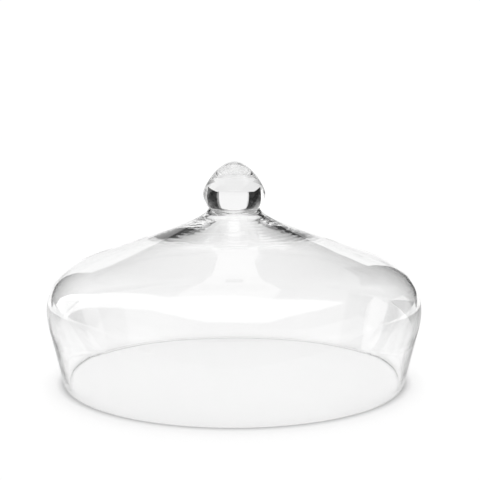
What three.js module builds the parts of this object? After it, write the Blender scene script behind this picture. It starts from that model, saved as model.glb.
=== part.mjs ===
// Glass bell jar dome: a blown bell with a solid glass knob fused to its crown.
// Millimetres, +Z up. The origin is the centre of the rim, in the plane the bell stands on.
import * as THREE from 'three';

// Driving dimensions of the bell's outside
const RIM_RADIUS = 138;
const SKIRT_LEAN = 12.9; // degrees the skirt opens upwards, from the vertical
const SKIRT_TOP = 45.5;
const CROWN_PITCH = 19; // degrees the crown falls outwards, from the level
const CROWN_FOOT = new THREE.Vector2(109.4, 100.9);
const CROWN_TOP_RADIUS = 63.6;
const NECK_RADIUS = 20.6;
const NECK_HEIGHT = 138.2;
const SHOULDER_PULL = [40, 17]; // how far the shoulder's curve holds the line of the skirt, and of the crown
const FLARE_PULL = [40, 2.5]; // the same for the flare between the crown and the neck

// The wall, measured square to the surface
const RIM_WALL = 3.2;
const CROWN_WALL = 2.3; // from the top of the skirt to the boss
const RIM_EDGE_RADIUS = 0.9;

// The boss: the wall thickens like a lens from here in to the neck
const BOSS_RADIUS = 74;
const BOSS_RAMP = 14; // over which the thickening sets in
const BOSS_WEDGE = 2.8; // degrees between the outer and the inner surface

// The domed top of the hollow, under the neck
const HOLLOW_TOP = 137.2;
const HOLLOW_PULL = [3.5, 16]; // how far its curve holds the line of the wall, and of the level top

// The knob
const KNOB_GROOVE = new THREE.Vector2(NECK_RADIUS, 138.6); // where neck and foot would meet, unrounded
const KNOB_GROOVE_RADIUS = 1.2;
const KNOB_FLARE = 30; // degrees its foot opens upwards, from the vertical
const KNOB_BELLY = new THREE.Vector2(24.8, 150); // the widest point
const KNOB_TOP = 175.5;
const KNOB_FOOT_PULL = [5, 4.5]; // how far the foot's curve holds the line of the flare, and of the belly
const KNOB_CAP_PULL = [5.5, 12.5]; // the same for the cap, from the belly and from the level top

// Facets
const BELL_SIDES = 72;
const KNOB_SIDES = 48;
const SHOULDER_STEPS = 14;
const CROWN_STEPS = 6;
const FLARE_STEPS = 9;
const NECK_STEPS = 4; // the last steps of the flare, which have solid glass behind them
const HOLLOW_STEPS = 10;
const EDGE_STEPS = 3;
const FOOT_STEPS = 6;
const CAP_STEPS = 12;

const AXIS_X = 0;
const radians = THREE.MathUtils.degToRad;
const leaning = (degrees) => new THREE.Vector2(Math.sin(radians(degrees)), Math.cos(radians(degrees)));
const rising = (degrees) => new THREE.Vector2(-Math.cos(radians(degrees)), Math.sin(radians(degrees)));
const along = (start, direction, distance) => start.clone().addScaledVector(direction, distance);

// A cubic curve that leaves start along one direction and reaches end along another.
function blend(start, startDirection, end, endDirection, [startPull, endPull]) {
  return new THREE.CubicBezierCurve(
    start,
    along(start, startDirection, startPull),
    along(end, endDirection, -endPull),
    end,
  );
}

// The arc of a given radius that rounds a corner between two directions.
function corner(point, before, after, radius, steps) {
  const turn = Math.acos(before.dot(after));
  const tangentLength = radius * Math.tan(turn / 2);
  const start = along(point, before, -tangentLength);
  const side = Math.sign(before.cross(after));
  const towardsCentre = new THREE.Vector2(-before.y, before.x).multiplyScalar(side);
  const centre = along(start, towardsCentre, radius);
  const spoke = start.clone().sub(centre);
  return Array.from({ length: steps + 1 }, (_, i) => {
    const angle = (side * turn * i) / steps;
    return spoke.clone().rotateAround(new THREE.Vector2(), angle).add(centre);
  });
}

const skirtWall = (point, t) => THREE.MathUtils.lerp(RIM_WALL, CROWN_WALL, t);
const evenWall = () => CROWN_WALL;

function bossWall({ x: radius }) {
  const inside = Math.max(0, BOSS_RADIUS - radius);
  const ramp = Math.min(inside, BOSS_RAMP);
  const run = ramp ** 2 / (2 * BOSS_RAMP) + inside - ramp;
  return CROWN_WALL + run * Math.tan(radians(BOSS_WEDGE));
}

// Points on the bell's outside, each with the direction of the outline there and the wall behind it.
function bellStations() {
  const skirt = leaning(SKIRT_LEAN);
  const crown = rising(CROWN_PITCH);
  const rim = new THREE.Vector2(RIM_RADIUS, 0);
  const skirtTop = along(rim, skirt, SKIRT_TOP / skirt.y);
  const crownTop = along(CROWN_FOOT, crown, (CROWN_FOOT.x - CROWN_TOP_RADIUS) / -crown.x);
  const neck = new THREE.Vector2(NECK_RADIUS, NECK_HEIGHT);
  const straight = (from, to) => new THREE.LineCurve(from, to);
  const shoulder = blend(skirtTop, skirt, CROWN_FOOT, crown, SHOULDER_PULL);
  const flare = blend(crownTop, crown, neck, new THREE.Vector2(0, 1), FLARE_PULL);
  const stretches = [
    [straight(rim, skirtTop), 1, skirtWall],
    [shoulder, SHOULDER_STEPS, evenWall],
    [straight(CROWN_FOOT, crownTop), CROWN_STEPS, bossWall],
    [flare, FLARE_STEPS, bossWall],
  ];
  return stretches.flatMap(([curve, steps, wallAt], index) => {
    const first = index === 0 ? 0 : 1;
    return Array.from({ length: steps + 1 - first }, (_, i) => {
      const t = (i + first) / steps;
      const point = curve.getPoint(t);
      return { point, direction: curve.getTangent(t), wall: wallAt(point, t) };
    });
  });
}

const behindWall = ({ point, direction, wall }) =>
  along(point, new THREE.Vector2(-direction.y, direction.x), wall);

// The dome that closes the hollow, from the axis down to the wall of the flare.
function hollowDome(station) {
  const apex = new THREE.Vector2(AXIS_X, HOLLOW_TOP);
  const level = new THREE.Vector2(-1, 0);
  const rise = blend(behindWall(station), station.direction, apex, level, HOLLOW_PULL);
  return rise.getPoints(HOLLOW_STEPS).reverse();
}

// The foot of the wall: a flat land to stand on, between two rounded edges.
function rimLand(innerStart, outerEnd) {
  const skirt = leaning(SKIRT_LEAN);
  const level = new THREE.Vector2(1, 0);
  const down = skirt.clone().negate();
  return [
    ...corner(innerStart, down, level, RIM_EDGE_RADIUS, EDGE_STEPS),
    ...corner(outerEnd, level, skirt, RIM_EDGE_RADIUS, EDGE_STEPS),
  ];
}

function bellOutline() {
  const stations = bellStations();
  const throat = stations.length - 1 - NECK_STEPS;
  const skirt = leaning(SKIRT_LEAN);
  const innerWall = stations.slice(1, throat).reverse().map(behindWall);
  const innerRim = behindWall(stations[0]);
  const innerFoot = along(innerRim, skirt, -innerRim.y / skirt.y);
  return [
    ...hollowDome(stations[throat]),
    ...innerWall,
    ...rimLand(innerFoot, stations[0].point),
    ...stations.slice(1).map((station) => station.point),
    new THREE.Vector2(AXIS_X, NECK_HEIGHT),
  ];
}

function knobOutline() {
  const upright = new THREE.Vector2(0, 1);
  const inwards = new THREE.Vector2(-1, 0);
  const flare = leaning(KNOB_FLARE);
  const groove = corner(KNOB_GROOVE, upright, flare, KNOB_GROOVE_RADIUS, EDGE_STEPS);
  const foot = blend(groove.at(-1), flare, KNOB_BELLY, upright, KNOB_FOOT_PULL);
  const cap = blend(KNOB_BELLY, upright, new THREE.Vector2(AXIS_X, KNOB_TOP), inwards, KNOB_CAP_PULL);
  return [
    new THREE.Vector2(AXIS_X, NECK_HEIGHT),
    new THREE.Vector2(NECK_RADIUS, NECK_HEIGHT),
    ...groove,
    ...foot.getPoints(FOOT_STEPS).slice(1),
    ...cap.getPoints(CAP_STEPS).slice(1),
  ];
}

const glass = () => new THREE.MeshStandardMaterial({ color: 0xf4f7f6, roughness: 0.02, metalness: 0 });

// A body of revolution about +Z.
function turned(name, outline, sides) {
  const geometry = new THREE.LatheGeometry(outline, sides);
  geometry.rotateX(Math.PI / 2);
  const mesh = new THREE.Mesh(geometry, glass());
  mesh.name = name;
  return mesh;
}

const bellJar = new THREE.Group();
bellJar.add(turned('bell', bellOutline(), BELL_SIDES));
bellJar.add(turned('knob', knobOutline(), KNOB_SIDES));

export default bellJar;
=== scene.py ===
"""A blown-glass bell jar dome on a white studio floor.

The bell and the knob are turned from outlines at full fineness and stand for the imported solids. Clear glass
only shows what stands round it, so most of the studio is there to be seen in the glass. Metres, +Z up.
"""
import math

import bmesh
import bpy
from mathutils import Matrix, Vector, noise


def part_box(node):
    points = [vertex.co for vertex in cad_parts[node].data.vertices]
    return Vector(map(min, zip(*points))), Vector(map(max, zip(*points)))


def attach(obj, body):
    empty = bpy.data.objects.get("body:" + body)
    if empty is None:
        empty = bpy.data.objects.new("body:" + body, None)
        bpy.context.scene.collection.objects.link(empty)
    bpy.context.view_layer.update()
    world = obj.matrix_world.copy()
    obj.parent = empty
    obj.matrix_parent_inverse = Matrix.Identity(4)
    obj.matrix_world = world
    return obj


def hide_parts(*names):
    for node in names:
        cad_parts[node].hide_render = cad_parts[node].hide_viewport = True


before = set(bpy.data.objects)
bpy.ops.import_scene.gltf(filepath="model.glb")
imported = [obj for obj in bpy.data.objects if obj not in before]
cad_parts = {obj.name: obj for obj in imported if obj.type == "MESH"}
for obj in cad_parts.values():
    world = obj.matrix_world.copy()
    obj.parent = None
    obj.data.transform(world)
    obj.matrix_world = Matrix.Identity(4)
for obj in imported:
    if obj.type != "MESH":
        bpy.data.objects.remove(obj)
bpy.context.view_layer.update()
BELL_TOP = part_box("bell")[1].z
MM = 0.001

# ---------------------------------------------------------------- the bell's outline
RIM_RADIUS = 138.0 * MM
SKIRT_LEAN = math.radians(12.9)  # from the vertical
SKIRT_TOP = 45.5 * MM
CROWN_PITCH = math.radians(19.0)  # from the level
CROWN_FOOT = Vector((109.4 * MM, 100.9 * MM))
CROWN_TOP_RADIUS = 63.6 * MM
NECK = Vector((20.6 * MM, BELL_TOP))
SHOULDER_PULL = (40 * MM, 17 * MM)  # how far its curve holds the line it leaves, and the line it reaches
FLARE_PULL = (40 * MM, 2.5 * MM)
RIM_WALL = 3.2 * MM
CROWN_WALL = 2.3 * MM
RIM_EDGE_RADIUS = 0.9 * MM
HOLLOW_TOP = 137.2 * MM
HOLLOW_PULL = (16 * MM, 3.5 * MM)
THROAT_RADIUS = 26 * MM          # the hollow follows the outside in to this radius

# The boss: the wall thickens towards the knob
BOSS_RADIUS = 74 * MM
BOSS_RAMP = 14 * MM
BOSS_WEDGE = math.radians(3.6)
FRONT_EASE = 0.45                # the share of the thickening taken off at the front and back
SIDE_EASE = 0.20                 # and on the right

# The ripple on the hollow's surface
RIPPLE_RADIUS = 88 * MM          # where it starts
RIPPLE_FADE = 20 * MM
RIPPLE_PITCH = 4.6 * MM
RIPPLE_STARTS = 3
RIPPLE_SLOPE = 0.018
RIPPLE_WANDER = 60.0             # per metre
RIPPLE_DRIFT = 0.9               # in rings
RIPPLE_PATCH = 90.0              # per metre

# ---------------------------------------------------------------- the knob's outline
KNOB_GROOVE = Vector((NECK.x, 138.6 * MM))  # where neck and foot would meet, unrounded
KNOB_GROOVE_RADIUS = 1.2 * MM
KNOB_FLARE = math.radians(30)
KNOB_BELLY = Vector((24.8 * MM, 150 * MM))
KNOB_TOP = Vector((0, 175.5 * MM))
KNOB_FOOT_PULL = (5 * MM, 4.5 * MM)
KNOB_CAP_PULL = (5.5 * MM, 12.5 * MM)

# ---------------------------------------------------------------- fineness
SIDES = 240                      # facets round the bell and the knob
INSIDE_STEPS = (10, 40, 72, 100)  # rings on the skirt, the shoulder, the crown and the flare
OUTSIDE_STEPS = (10, 40, 12, 42)
HOLLOW_STEPS = 32
EDGE_STEPS = 8
GROOVE_STEPS = 6
FOOT_STEPS = 24
CAP_STEPS = 72
ON_AXIS = 1e-9                   # a smaller radius than this is a point on the axis

UP = Vector((0, 1))
OUTWARDS = Vector((1, 0))
INWARDS = Vector((-1, 0))


def leaning(angle):
    return Vector((math.sin(angle), math.cos(angle)))


def rising(angle):
    return Vector((-math.cos(angle), math.sin(angle)))


def blend(start, start_direction, end, end_direction, pulls):
    """A cubic curve that leaves start along one direction and reaches end along another."""
    handles = (start, start + start_direction * pulls[0], end - end_direction * pulls[1], end)

    def at(t):
        s = 1 - t
        weights = (s ** 3, 3 * s * s * t, 3 * s * t * t, t ** 3)
        point = sum((h * w for h, w in zip(handles, weights)), Vector((0, 0)))
        steps = [b - a for a, b in zip(handles, handles[1:])]
        tangent = sum((d * w for d, w in zip(steps, (s * s, 2 * s * t, t * t))), Vector((0, 0)))
        return point, tangent.normalized()

    return at


def straight(start, end):
    direction = (end - start).normalized()
    return lambda t: (start.lerp(end, t), direction)


def corner(point, before, after, radius, steps):
    """The arc of a given radius that rounds a corner between two directions."""
    turn = before.angle(after)
    side = math.copysign(1, before.x * after.y - before.y * after.x)
    start = point - before * (radius * math.tan(turn / 2))
    centre = start + Vector((-before.y, before.x)) * (side * radius)
    spoke = start - centre
    points = []
    for i in range(steps + 1):
        angle = side * turn * i / steps
        c, s = math.cos(angle), math.sin(angle)
        points.append(centre + Vector((spoke.x * c - spoke.y * s, spoke.x * s + spoke.y * c)))
    return points


def bell_stations(steps):
    """Points up the bell's outside, each with the outline's direction and the plain wall behind it.

    steps holds how many go to the skirt, the shoulder, the crown and the flare.
    """
    skirt, crown = leaning(SKIRT_LEAN), rising(CROWN_PITCH)
    rim = Vector((RIM_RADIUS, 0))
    skirt_top = rim + skirt * (SKIRT_TOP / skirt.y)
    crown_top = CROWN_FOOT + crown * ((CROWN_FOOT.x - CROWN_TOP_RADIUS) / -crown.x)
    stretches = (
        (straight(rim, skirt_top), RIM_WALL),
        (blend(skirt_top, skirt, CROWN_FOOT, crown, SHOULDER_PULL), CROWN_WALL),
        (straight(CROWN_FOOT, crown_top), CROWN_WALL),
        (blend(crown_top, crown, NECK, UP, FLARE_PULL), CROWN_WALL),
    )
    stations = []
    for index, (curve, wall_from) in enumerate(stretches):
        for i in range(0 if index == 0 else 1, steps[index] + 1):
            t = i / steps[index]
            point, direction = curve(t)
            stations.append((point, direction, wall_from + (CROWN_WALL - wall_from) * t))
    return stations


def behind(station):
    point, direction, wall = station
    return point + Vector((-direction.y, direction.x)) * wall


def boss(radius):
    """How far the thickening towards the knob has run at this radius."""
    inside = max(0, BOSS_RADIUS - radius)
    ramp = min(inside, BOSS_RAMP)
    return ramp * ramp / (2 * BOSS_RAMP) + inside - ramp


def inner_wall(station):
    """A station with its real wall, which thickens like a lens towards the knob."""
    point, direction, wall = station
    if point.y < CROWN_FOOT.y:
        return station
    return point, direction, wall + boss(point.x) * math.tan(BOSS_WEDGE)


def bell_outline():
    """From the axis inside the hollow, round the rim, and up the outside to the weld's edge.

    Also says how many of its points are inside, from the hollow's top down to the rim.
    """
    stations = bell_stations(INSIDE_STEPS)
    followed = [s for s in stations[1:] if s[0].x > THROAT_RADIUS or s[0].y < CROWN_FOOT.y]
    inner = [behind(inner_wall(s)) for s in followed]
    throat_direction = (inner[-2] - inner[-1]).normalized()
    throat = blend(Vector((0, HOLLOW_TOP)), OUTWARDS, inner[-1], throat_direction, HOLLOW_PULL)
    hollow = [throat(i / HOLLOW_STEPS)[0] for i in range(HOLLOW_STEPS)]
    inner.reverse()
    skirt = leaning(SKIRT_LEAN)
    inner_rim = behind(stations[0])
    inner_foot = inner_rim - skirt * (inner_rim.y / skirt.y)
    land = corner(inner_foot, -skirt, OUTWARDS, RIM_EDGE_RADIUS, EDGE_STEPS)
    land += corner(stations[0][0], OUTWARDS, skirt, RIM_EDGE_RADIUS, EDGE_STEPS)
    outer = [s[0] for s in bell_stations(OUTSIDE_STEPS)[1:]]
    return hollow + inner + land + outer, len(hollow + inner)


def rippled(point):
    """A point inside the bell, raised by faint uneven rings and where the boss is thinner."""
    radius = math.hypot(point.x, point.y)
    turn = math.atan2(point.y, point.x)
    near_axis = min(1, radius / THROAT_RADIUS)
    strength = max(0, min(1, (RIPPLE_RADIUS - radius) / RIPPLE_FADE)) * near_axis
    wander = noise.noise(point * RIPPLE_WANDER)
    phase = math.tau * (radius / RIPPLE_PITCH + RIPPLE_STARTS * turn / math.tau + RIPPLE_DRIFT * wander)
    patchy = 0.5 + noise.noise(point * RIPPLE_PATCH)
    raised = RIPPLE_SLOPE * RIPPLE_PITCH / math.tau * strength * patchy * math.sin(phase)
    thinner = FRONT_EASE * math.sin(turn) ** 4 + SIDE_EASE * (1 + math.cos(turn)) / 2
    raised += boss(radius) * math.tan(BOSS_WEDGE) * thinner * near_axis
    return point + Vector((0, 0, raised))


def knob_outline():
    """From the weld's edge round the knob to its tip."""
    flare = leaning(KNOB_FLARE)
    groove = corner(KNOB_GROOVE, UP, flare, KNOB_GROOVE_RADIUS, GROOVE_STEPS)
    foot = blend(groove[-1], flare, KNOB_BELLY, UP, KNOB_FOOT_PULL)
    cap = blend(KNOB_BELLY, UP, KNOB_TOP, INWARDS, KNOB_CAP_PULL)
    points = [NECK.copy()] + groove
    points += [foot((i + 1) / FOOT_STEPS)[0] for i in range(FOOT_STEPS)]
    points += [cap((i + 1) / CAP_STEPS)[0] for i in range(CAP_STEPS)]
    return points


def shown(name, mesh):
    """A new object in the scene with this mesh."""
    obj = bpy.data.objects.new(name, mesh)
    bpy.context.scene.collection.objects.link(obj)
    return obj


def turned(name, outline, closing, blown=0):
    """Turns an outline about the axis. closing is 'start' or 'end': that end meets the weld's flat disc.

    The first points, as many as blown says, carry the ripple of hand-blown glass.
    """
    bm = bmesh.new()
    rings = []
    for index, point in enumerate(outline):
        if point.x < ON_AXIS:
            rings.append([bm.verts.new(Vector((0, 0, point.y)))])
            continue
        ring = []
        for k in range(SIDES):
            a = math.tau * k / SIDES
            place = Vector((point.x * math.cos(a), point.x * math.sin(a), point.y))
            ring.append(bm.verts.new(rippled(place) if index < blown else place))
        rings.append(ring)
    for low, high in zip(rings, rings[1:]):
        for k in range(SIDES):
            m = (k + 1) % SIDES
            if len(low) == 1:
                bm.faces.new((low[0], high[m], high[k]))
            elif len(high) == 1:
                bm.faces.new((low[k], low[m], high[0]))
            else:
                bm.faces.new((low[k], low[m], high[m], high[k]))
    for face in bm.faces:
        face.smooth = True
    if closing == "end":
        disc = bm.faces.new(rings[-1])
    else:
        disc = bm.faces.new(list(reversed(rings[0])))
    disc.material_index = 1
    disc.smooth = False
    mesh = bpy.data.meshes.new(name)
    bm.to_mesh(mesh)
    bm.free()
    return shown(name, mesh)


# ---------------------------------------------------------------- materials
GLASS_IOR = 1.5
THIN_CLARITY, THICK_CLARITY = 1.0, 0.86  # what the tint lets past each surface
NOISE_LOW, NOISE_HIGH = 0.3, 0.7  # the middle range of a noise
STREAK_SCALE, STREAK_DETAIL = 18.0, 2  # scales are per metre
STREAK_TINT = 0.012
SMEAR_SCALE, SMEAR_DETAIL = 60.0, 3
SMEAR_ROUGHNESS = 0.02
WAVE_SCALE, WAVE_DETAIL = 32.0, 1
WAVE_HEIGHT = 0.12 * MM


def principled(name):
    material = bpy.data.materials.new(name)
    material.use_nodes = True
    return material, material.node_tree.nodes["Principled BSDF"]


def bare(name):
    """A material with no nodes yet, and its node tree."""
    material = bpy.data.materials.new(name)
    material.use_nodes = True
    material.node_tree.nodes.clear()
    return material, material.node_tree


def graded(tree, source, start, end):
    """A value that follows the source. start and end each hold a source value and the result there."""
    grade = tree.nodes.new("ShaderNodeMapRange")
    grade.inputs["From Min"].default_value, grade.inputs["To Min"].default_value = start
    grade.inputs["From Max"].default_value, grade.inputs["To Max"].default_value = end
    tree.links.new(source, grade.inputs["Value"])
    return grade


def clear_glass(name, clarity):
    """Clear glass with faint streaks in its tint, smears in its roughness and slow waves in its surface."""
    material, shader = principled(name)
    tree = material.node_tree
    place = tree.nodes.new("ShaderNodeTexCoord")

    def cloud(scale, detail):
        texture = tree.nodes.new("ShaderNodeTexNoise")
        texture.inputs["Scale"].default_value = scale
        texture.inputs["Detail"].default_value = detail
        tree.links.new(place.outputs["Object"], texture.inputs["Vector"])
        return texture.outputs["Fac"]

    def spread(source, low, high, socket):
        grade = graded(tree, source, (NOISE_LOW, low), (NOISE_HIGH, high))
        tree.links.new(grade.outputs["Result"], shader.inputs[socket])

    spread(cloud(STREAK_SCALE, STREAK_DETAIL), clarity * (1 - STREAK_TINT), clarity, "Base Color")
    spread(cloud(SMEAR_SCALE, SMEAR_DETAIL), 0, SMEAR_ROUGHNESS, "Roughness")
    waves = tree.nodes.new("ShaderNodeBump")
    waves.inputs["Distance"].default_value = WAVE_HEIGHT
    tree.links.new(cloud(WAVE_SCALE, WAVE_DETAIL), waves.inputs["Height"])
    tree.links.new(waves.outputs["Normal"], shader.inputs["Normal"])
    shader.inputs["Transmission Weight"].default_value = 1
    shader.inputs["IOR"].default_value = GLASS_IOR
    return material


def weld():
    """The plane where the two pieces were fused: one glass, so nothing shows there."""
    material, tree = bare("weld")
    clear = tree.nodes.new("ShaderNodeBsdfTransparent")
    output = tree.nodes.new("ShaderNodeOutputMaterial")
    tree.links.new(clear.outputs["BSDF"], output.inputs["Surface"])
    return material


def emitter(name, strength):
    material, tree = bare(name)
    light = tree.nodes.new("ShaderNodeEmission")
    light.inputs["Strength"].default_value = strength
    output = tree.nodes.new("ShaderNodeOutputMaterial")
    tree.links.new(light.outputs["Emission"], output.inputs["Surface"])
    return material


# ---------------------------------------------------------------- the pieces
THIN_GLASS = clear_glass("thin_glass", THIN_CLARITY)
THICK_GLASS = clear_glass("thick_glass", THICK_CLARITY)
WELD = weld()

outline, inside = bell_outline()
bell = turned("blown_bell", outline, "end", inside)
knob = turned("solid_knob", knob_outline(), "start")
for piece, node, glass in ((bell, "bell", THIN_GLASS), (knob, "knob", THICK_GLASS)):
    piece.data.materials.append(glass)
    piece.data.materials.append(WELD)
    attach(piece, "root")
    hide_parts(node)


# ---------------------------------------------------------------- the camera
CAMERA_PLACE = (0.00465, -0.8, 0.2157)
CAMERA_PITCH = math.radians(7.37)  # downwards
CAMERA_LENS, CAMERA_SENSOR = 74.89, 36  # mm
CAMERA_CLIP = (0.01, 30)


def photo_camera():
    lens = bpy.data.cameras.new("camera")
    lens.lens = CAMERA_LENS
    lens.sensor_width = CAMERA_SENSOR
    lens.clip_start, lens.clip_end = CAMERA_CLIP
    obj = shown("camera", lens)
    obj.location = CAMERA_PLACE
    obj.rotation_euler = (math.pi / 2 - CAMERA_PITCH, 0, 0)
    bpy.context.scene.camera = obj


photo_camera()


# ---------------------------------------------------------------- the stage
FLOOR_RADIUS = 8.0
FLOOR_SIDES = 96
FLOOR_WHITE = 0.25
FLOOR_GLOW = 0.90                # the table is lit from below as well
# Painted shade in the table's glow, even under the dome and darkest in a ring at the rim: radii, and the
# share of the glow left there
RIM_PAINTED_SHADE = ((0.1350, 0.87), (0.1368, 0.35), (0.1385, 0.55), (0.1430, 0.93), (0.1550, 1.0))
PAPER_GAP = 0.05                 # how far inside the floor's edge the white paper stands
PAPER_HEIGHT = 6.0
PAPER_WHITE = 1.05
SKY_LOW, SKY_HIGH = 0.05, 2.20   # the room's light just over the horizon, and overhead
SKY_FROM, SKY_TO = 0.80, 0.98    # cosines from its middle between which it grows
SKY_TILT = math.radians(12)      # its middle leans away from the camera
ROOM_RADIUS = FLOOR_RADIUS + 1
ROOM_SEGMENTS, ROOM_RINGS = 48, 24
ROOM_LOW = 0.012                 # the dim room low down
ROOM_LEFT, ROOM_RIGHT = 0.55, 0.20  # and higher up on either side
ROOM_FROM, ROOM_TO = 0.08, 0.6   # sines of the elevations between which it brightens


def staged(name, verts, faces, material):
    mesh = bpy.data.meshes.new(name)
    mesh.from_pydata([tuple(v) for v in verts], [], faces)
    mesh.materials.append(material)
    obj = shown(name, mesh)
    return obj


def only_in_glass(obj):
    obj.visible_camera = False
    obj.visible_diffuse = False
    obj.visible_shadow = False


def circle(radius, height):
    turns = [math.tau * i / FLOOR_SIDES for i in range(FLOOR_SIDES)]
    return [(radius * math.cos(a), radius * math.sin(a), height) for a in turns]


def floor():
    """A pale table, lit from below, with painted shade in its glow under the dome and a darker painted ring
    at the rim.
    """
    material, shader = principled("white_floor")
    shader.inputs["Base Color"].default_value = (FLOOR_WHITE, FLOOR_WHITE, FLOOR_WHITE, 1)
    shader.inputs["Roughness"].default_value = 1.0
    shader.inputs["Specular IOR Level"].default_value = 0.0
    shader.inputs["Emission Color"].default_value = (1, 1, 1, 1)
    nodes, links = material.node_tree.nodes, material.node_tree.links
    place = nodes.new("ShaderNodeTexCoord")
    radius = nodes.new("ShaderNodeVectorMath")
    radius.operation = "LENGTH"
    # The glow is dimmed by radius: painted shade under the dome and a painted shadow ring at the rim
    shade = nodes.new("ShaderNodeFloatCurve")
    curve = shade.mapping.curves[0]
    curve.points[0].location = (0, RIM_PAINTED_SHADE[0][1])
    curve.points[1].location = (1, 1)
    for point in RIM_PAINTED_SHADE:
        curve.points.new(*point)
    for point in curve.points:
        point.handle_type = "VECTOR"
    shade.mapping.update()
    glow = nodes.new("ShaderNodeMath")
    glow.operation = "MULTIPLY"
    glow.inputs[1].default_value = FLOOR_GLOW
    links.new(place.outputs["Object"], radius.inputs[0])
    links.new(radius.outputs["Value"], shade.inputs["Value"])
    links.new(shade.outputs["Value"], glow.inputs[0])
    links.new(glow.outputs["Value"], shader.inputs["Emission Strength"])
    staged("floor", circle(FLOOR_RADIUS, 0), [tuple(range(FLOOR_SIDES))], material)


def cyclorama():
    """The white paper round the floor, which only the camera sees."""
    radius = FLOOR_RADIUS - PAPER_GAP
    verts = circle(radius, 0) + circle(radius, PAPER_HEIGHT)
    faces = []
    for i in range(FLOOR_SIDES):
        j = (i + 1) % FLOOR_SIDES
        faces.append((i, i + FLOOR_SIDES, j + FLOOR_SIDES, j))
    paper = staged("cyclorama", verts, faces, emitter("white_paper", PAPER_WHITE))
    paper.visible_diffuse = False
    paper.visible_glossy = False
    paper.visible_transmission = False
    paper.visible_shadow = False


def room_light():
    """Soft light from above that grows with elevation, for the floor alone."""
    world = bpy.data.worlds.new("room_light")
    bpy.context.scene.world = world
    world.use_nodes = True
    tree = world.node_tree
    place = tree.nodes.new("ShaderNodeTexCoord")
    tilt = tree.nodes.new("ShaderNodeVectorMath")
    tilt.operation = "DOT_PRODUCT"
    tilt.inputs[1].default_value = (0, math.sin(SKY_TILT), math.cos(SKY_TILT))
    tree.links.new(place.outputs["Generated"], tilt.inputs[0])
    grow = graded(tree, tilt.outputs["Value"], (SKY_FROM, SKY_LOW), (SKY_TO, SKY_HIGH))
    grow.interpolation_type = "SMOOTHSTEP"
    sky = tree.nodes["Background"]
    sky.inputs["Color"].default_value = (1, 1, 1, 1)
    tree.links.new(grow.outputs["Result"], sky.inputs["Strength"])
    world.cycles_visibility.camera = False
    world.cycles_visibility.glossy = False
    world.cycles_visibility.transmission = False


def split_place(tree):
    """A point's X, Y and Z in its object."""
    place = tree.nodes.new("ShaderNodeTexCoord")
    split = tree.nodes.new("ShaderNodeSeparateXYZ")
    tree.links.new(place.outputs["Object"], split.inputs["Vector"])
    return split.outputs


def dim_room():
    """The dim studio all round, which shows only in the glass: darker near the table and to the right."""
    material = emitter("dim_room", 1)
    tree = material.node_tree
    place = split_place(tree)
    across = graded(tree, place["X"], (-ROOM_RADIUS, ROOM_LEFT), (ROOM_RADIUS, ROOM_RIGHT))
    grow = graded(tree, place["Z"], (ROOM_FROM * ROOM_RADIUS, ROOM_LOW), (ROOM_TO * ROOM_RADIUS, ROOM_LEFT))
    grow.interpolation_type = "SMOOTHSTEP"
    tree.links.new(across.outputs["Result"], grow.inputs["To Max"])
    tree.links.new(grow.outputs["Result"], tree.nodes["Emission"].inputs["Strength"])
    bm = bmesh.new()
    bmesh.ops.create_uvsphere(bm, u_segments=ROOM_SEGMENTS, v_segments=ROOM_RINGS, radius=ROOM_RADIUS)
    mesh = bpy.data.meshes.new("dim_room")
    bm.to_mesh(mesh)
    bm.free()
    mesh.materials.append(material)
    obj = shown("dim_room", mesh)
    only_in_glass(obj)


floor()
cyclorama()
room_light()
dim_room()


# ---------------------------------------------------------------- the cards and lamps
CEILING = 1.3                    # height of the overhead softbox and the strips round it
SIDE = 1.3                       # how far off the side softboxes stand
BACKDROP = 4.0                   # how far behind the dome the white backdrop stands
BACK_LEFT, BACK_RIGHT = -1.85, 1.37  # its sides
BACK_FOOT = 0.25                 # the height where it sweeps on to the floor
BACK_HEIGHT_LEFT, BACK_HEIGHT_RIGHT = 1.9, 1.6
WALL = 4.0                       # how far off the walls behind the camera and at the sides stand
WALL_HEIGHT = 1.9
WALL_END = -0.4                  # how far back the side walls reach
FLAG_SIDE, FLAG_START = 0.58, 0.52  # where the black flags start, to the side and behind
TABLE_TOP = 0.001                # the level of the cards that darken the table, as the glass sees it
TABLE_SIDE, TABLE_END = 0.19, 3.0
TABLE_FRONT, TABLE_BACK = -0.20, 0.35
KNOB_OVER = 0.204                # height of the shade over the knob, with a lamp a millimetre above it
KNOB_BEHIND = 0.1                # how far behind the axis the knob's window and flags stand
KNOB_WINDOW_LOW, KNOB_FLAG_LOW, KNOB_WINDOW_HIGH = 0.14, 0.1395, 0.19
FOOT_BEHIND = 0.06               # and the shade for its foot

OVERHEAD = (
    (-0.5, 0.15), (0.0, 0.2), (0.28, 0.05), (1.15, 0.12), (1.0, -0.4), (0.82, -0.71), (0.62, -1.5),
    (-0.5, -1.45), (-0.96, -0.41), (-1.3, -0.22), (-1.3, 0.85), (-1.04, 0.66), (-0.66, 0.38),
)
REAR_STRIP = (
    (-0.18, 1.34), (0.18, 1.34), (0.2, 1.18), (0.12, 1.07),
    (0.16, 0.87), (-0.16, 0.87), (-0.12, 1.07), (-0.2, 1.18),
)
FAR_STRIP = ((-0.2, 1.35), (-0.38, 1.45), (-0.42, 2.4), (0.42, 2.4), (0.38, 1.45), (0.2, 1.35))
NEAR_STRIP = (
    (-0.16, 0.87), (0.16, 0.87), (0.29, 0.5), (0.28, 0.05),
    (0.0, 0.2), (-0.5, 0.15), (-0.39, 0.24), (-0.3, 0.5),
)
LEFT_SOFTBOX = (
    (1.15, 0.08), (0.5, 0.03), (0.25, 0.6), (-0.22, 1.3), (0.75, 1.3), (0.84, 0.9), (1.12, 0.35),
)
RIGHT_SOFTBOX = ((1.1, 0.05), (0.45, 0.05), (0.6, 0.65), (1.1, 0.5))
KNOB_FILL = ((-0.03, -0.01), (0.03, -0.01), (0.045, -0.075), (-0.045, -0.075))
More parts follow.
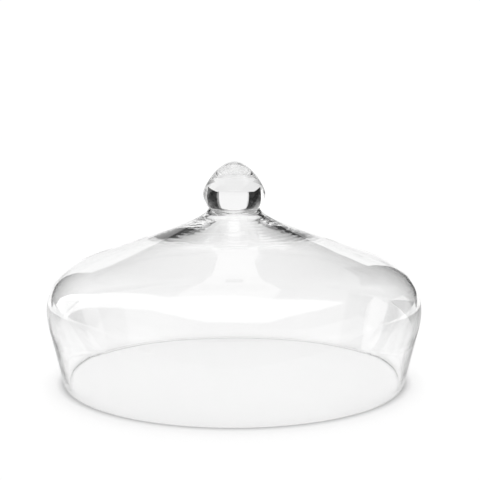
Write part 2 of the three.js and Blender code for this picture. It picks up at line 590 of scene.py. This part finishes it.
BACK_PAPER = (
    (BACK_LEFT, BACK_FOOT), (BACK_RIGHT, BACK_FOOT),
    (BACK_RIGHT, BACK_HEIGHT_RIGHT), (BACK_LEFT, BACK_HEIGHT_LEFT),
)


def rectangle(left, right, low, high):
    return ((left, low), (right, low), (right, high), (left, high))


def card(name, corners, material):
    """A flat lamp or a black card, which shows only in the glass: the floor is lit by the room."""
    only_in_glass(staged(name, corners, [tuple(range(len(corners)))], material))


def level_card(name, height, outline, strength):
    card(name, [(x, y, height) for x, y in outline], emitter(name, strength))


def side_card(name, x, outline, strength):
    card(name, [(x, y, z) for y, z in outline], emitter(name, strength))


def back_card(name, y, outline, strength):
    card(name, [(x, y, z) for x, z in outline], emitter(name, strength))


def table_card(name, side, near, far):
    """A card beside the dome that fades outwards. near and far each hold an X and the strength there."""
    material = emitter(name, 1)
    tree = material.node_tree
    grade = graded(tree, split_place(tree)["X"], near, far)
    tree.links.new(grade.outputs["Result"], tree.nodes["Emission"].inputs["Strength"])
    inner, outer = side * TABLE_SIDE, side * TABLE_END
    outline = ((inner, TABLE_FRONT), (inner, TABLE_BACK), (outer, TABLE_BACK), (outer, TABLE_FRONT))
    card(name, [(x, y, TABLE_TOP) for x, y in outline], material)


def flag(name, near_x, far_x, near_height, far_height):
    """A black card from beside the dome to the backdrop's edge."""
    corners = [
        (near_x, FLAG_START, 0),
        (far_x, BACKDROP, 0),
        (far_x, BACKDROP, far_height),
        (near_x, FLAG_START, near_height),
    ]
    card(name, corners, emitter(name, 0))


level_card("overhead_softbox", CEILING, OVERHEAD, 1.5)
level_card("rear_strip", CEILING, REAR_STRIP, 0.85)
level_card("near_strip", CEILING, NEAR_STRIP, 0.95)
level_card("far_strip", CEILING, FAR_STRIP, 1.2)
side_card("left_softbox", -SIDE, LEFT_SOFTBOX, 1.6)
side_card("right_softbox", SIDE, RIGHT_SOFTBOX, 0.6)

# Small cards close to the knob, which hardly show anywhere else
level_card("knob_shade", KNOB_OVER, rectangle(-0.01, 0.01, -0.021, -0.036), 0.3)
level_card("knob_fill", KNOB_OVER + MM, KNOB_FILL, 0.8)
back_card("knob_window", KNOB_BEHIND, rectangle(-0.023, 0.028, KNOB_WINDOW_LOW, KNOB_WINDOW_HIGH), 1.12)
for name, near, far in (("knob_flag_left", -0.0205, -0.05), ("knob_flag_right", 0.023, 0.05)):
    back_card(name, KNOB_BEHIND, rectangle(far, near, KNOB_FLAG_LOW, KNOB_WINDOW_HIGH), 0)
back_card("foot_shade", FOOT_BEHIND, rectangle(-0.02, 0.02, 0.162, 0.182), 0.1)

table_card("left_table", -1, (-TABLE_SIDE, 0.85), (-0.6, 0.4))
table_card("right_table", 1, (TABLE_SIDE, 0.7), (0.45, 0.2))
level_card("table_front", TABLE_TOP, rectangle(-TABLE_END, TABLE_END, TABLE_FRONT, -TABLE_END), 0.85)

back_card("backdrop", BACKDROP, BACK_PAPER, 0.9)
back_card("backdrop_sweep", BACKDROP, rectangle(BACK_LEFT, BACK_RIGHT, 0, BACK_FOOT), 1.0)
back_card("front_wall", -WALL, rectangle(-WALL, WALL, 0, WALL_HEIGHT), 0.4)
side_card("left_wall", -WALL, rectangle(-WALL, WALL_END, 0, WALL_HEIGHT), 0.6)
side_card("right_wall", WALL, rectangle(-WALL, WALL_END, 0, WALL_HEIGHT), 0.6)
flag("left_flag", -FLAG_SIDE, BACK_LEFT, 0.2, 0.5)
flag("right_flag", FLAG_SIDE, BACK_RIGHT, 0.75, 2.4)

# ---------------------------------------------------------------- light paths and the end
BOUNCES = 24                     # a path through both walls and the knob crosses many surfaces
GLOSSY_BOUNCES = 12

scene = bpy.context.scene
scene.view_settings.view_transform = "Standard"
scene.cycles.max_bounces = BOUNCES
scene.cycles.transmission_bounces = BOUNCES
scene.cycles.glossy_bounces = GLOSSY_BOUNCES
scene.cycles.transparent_max_bounces = BOUNCES
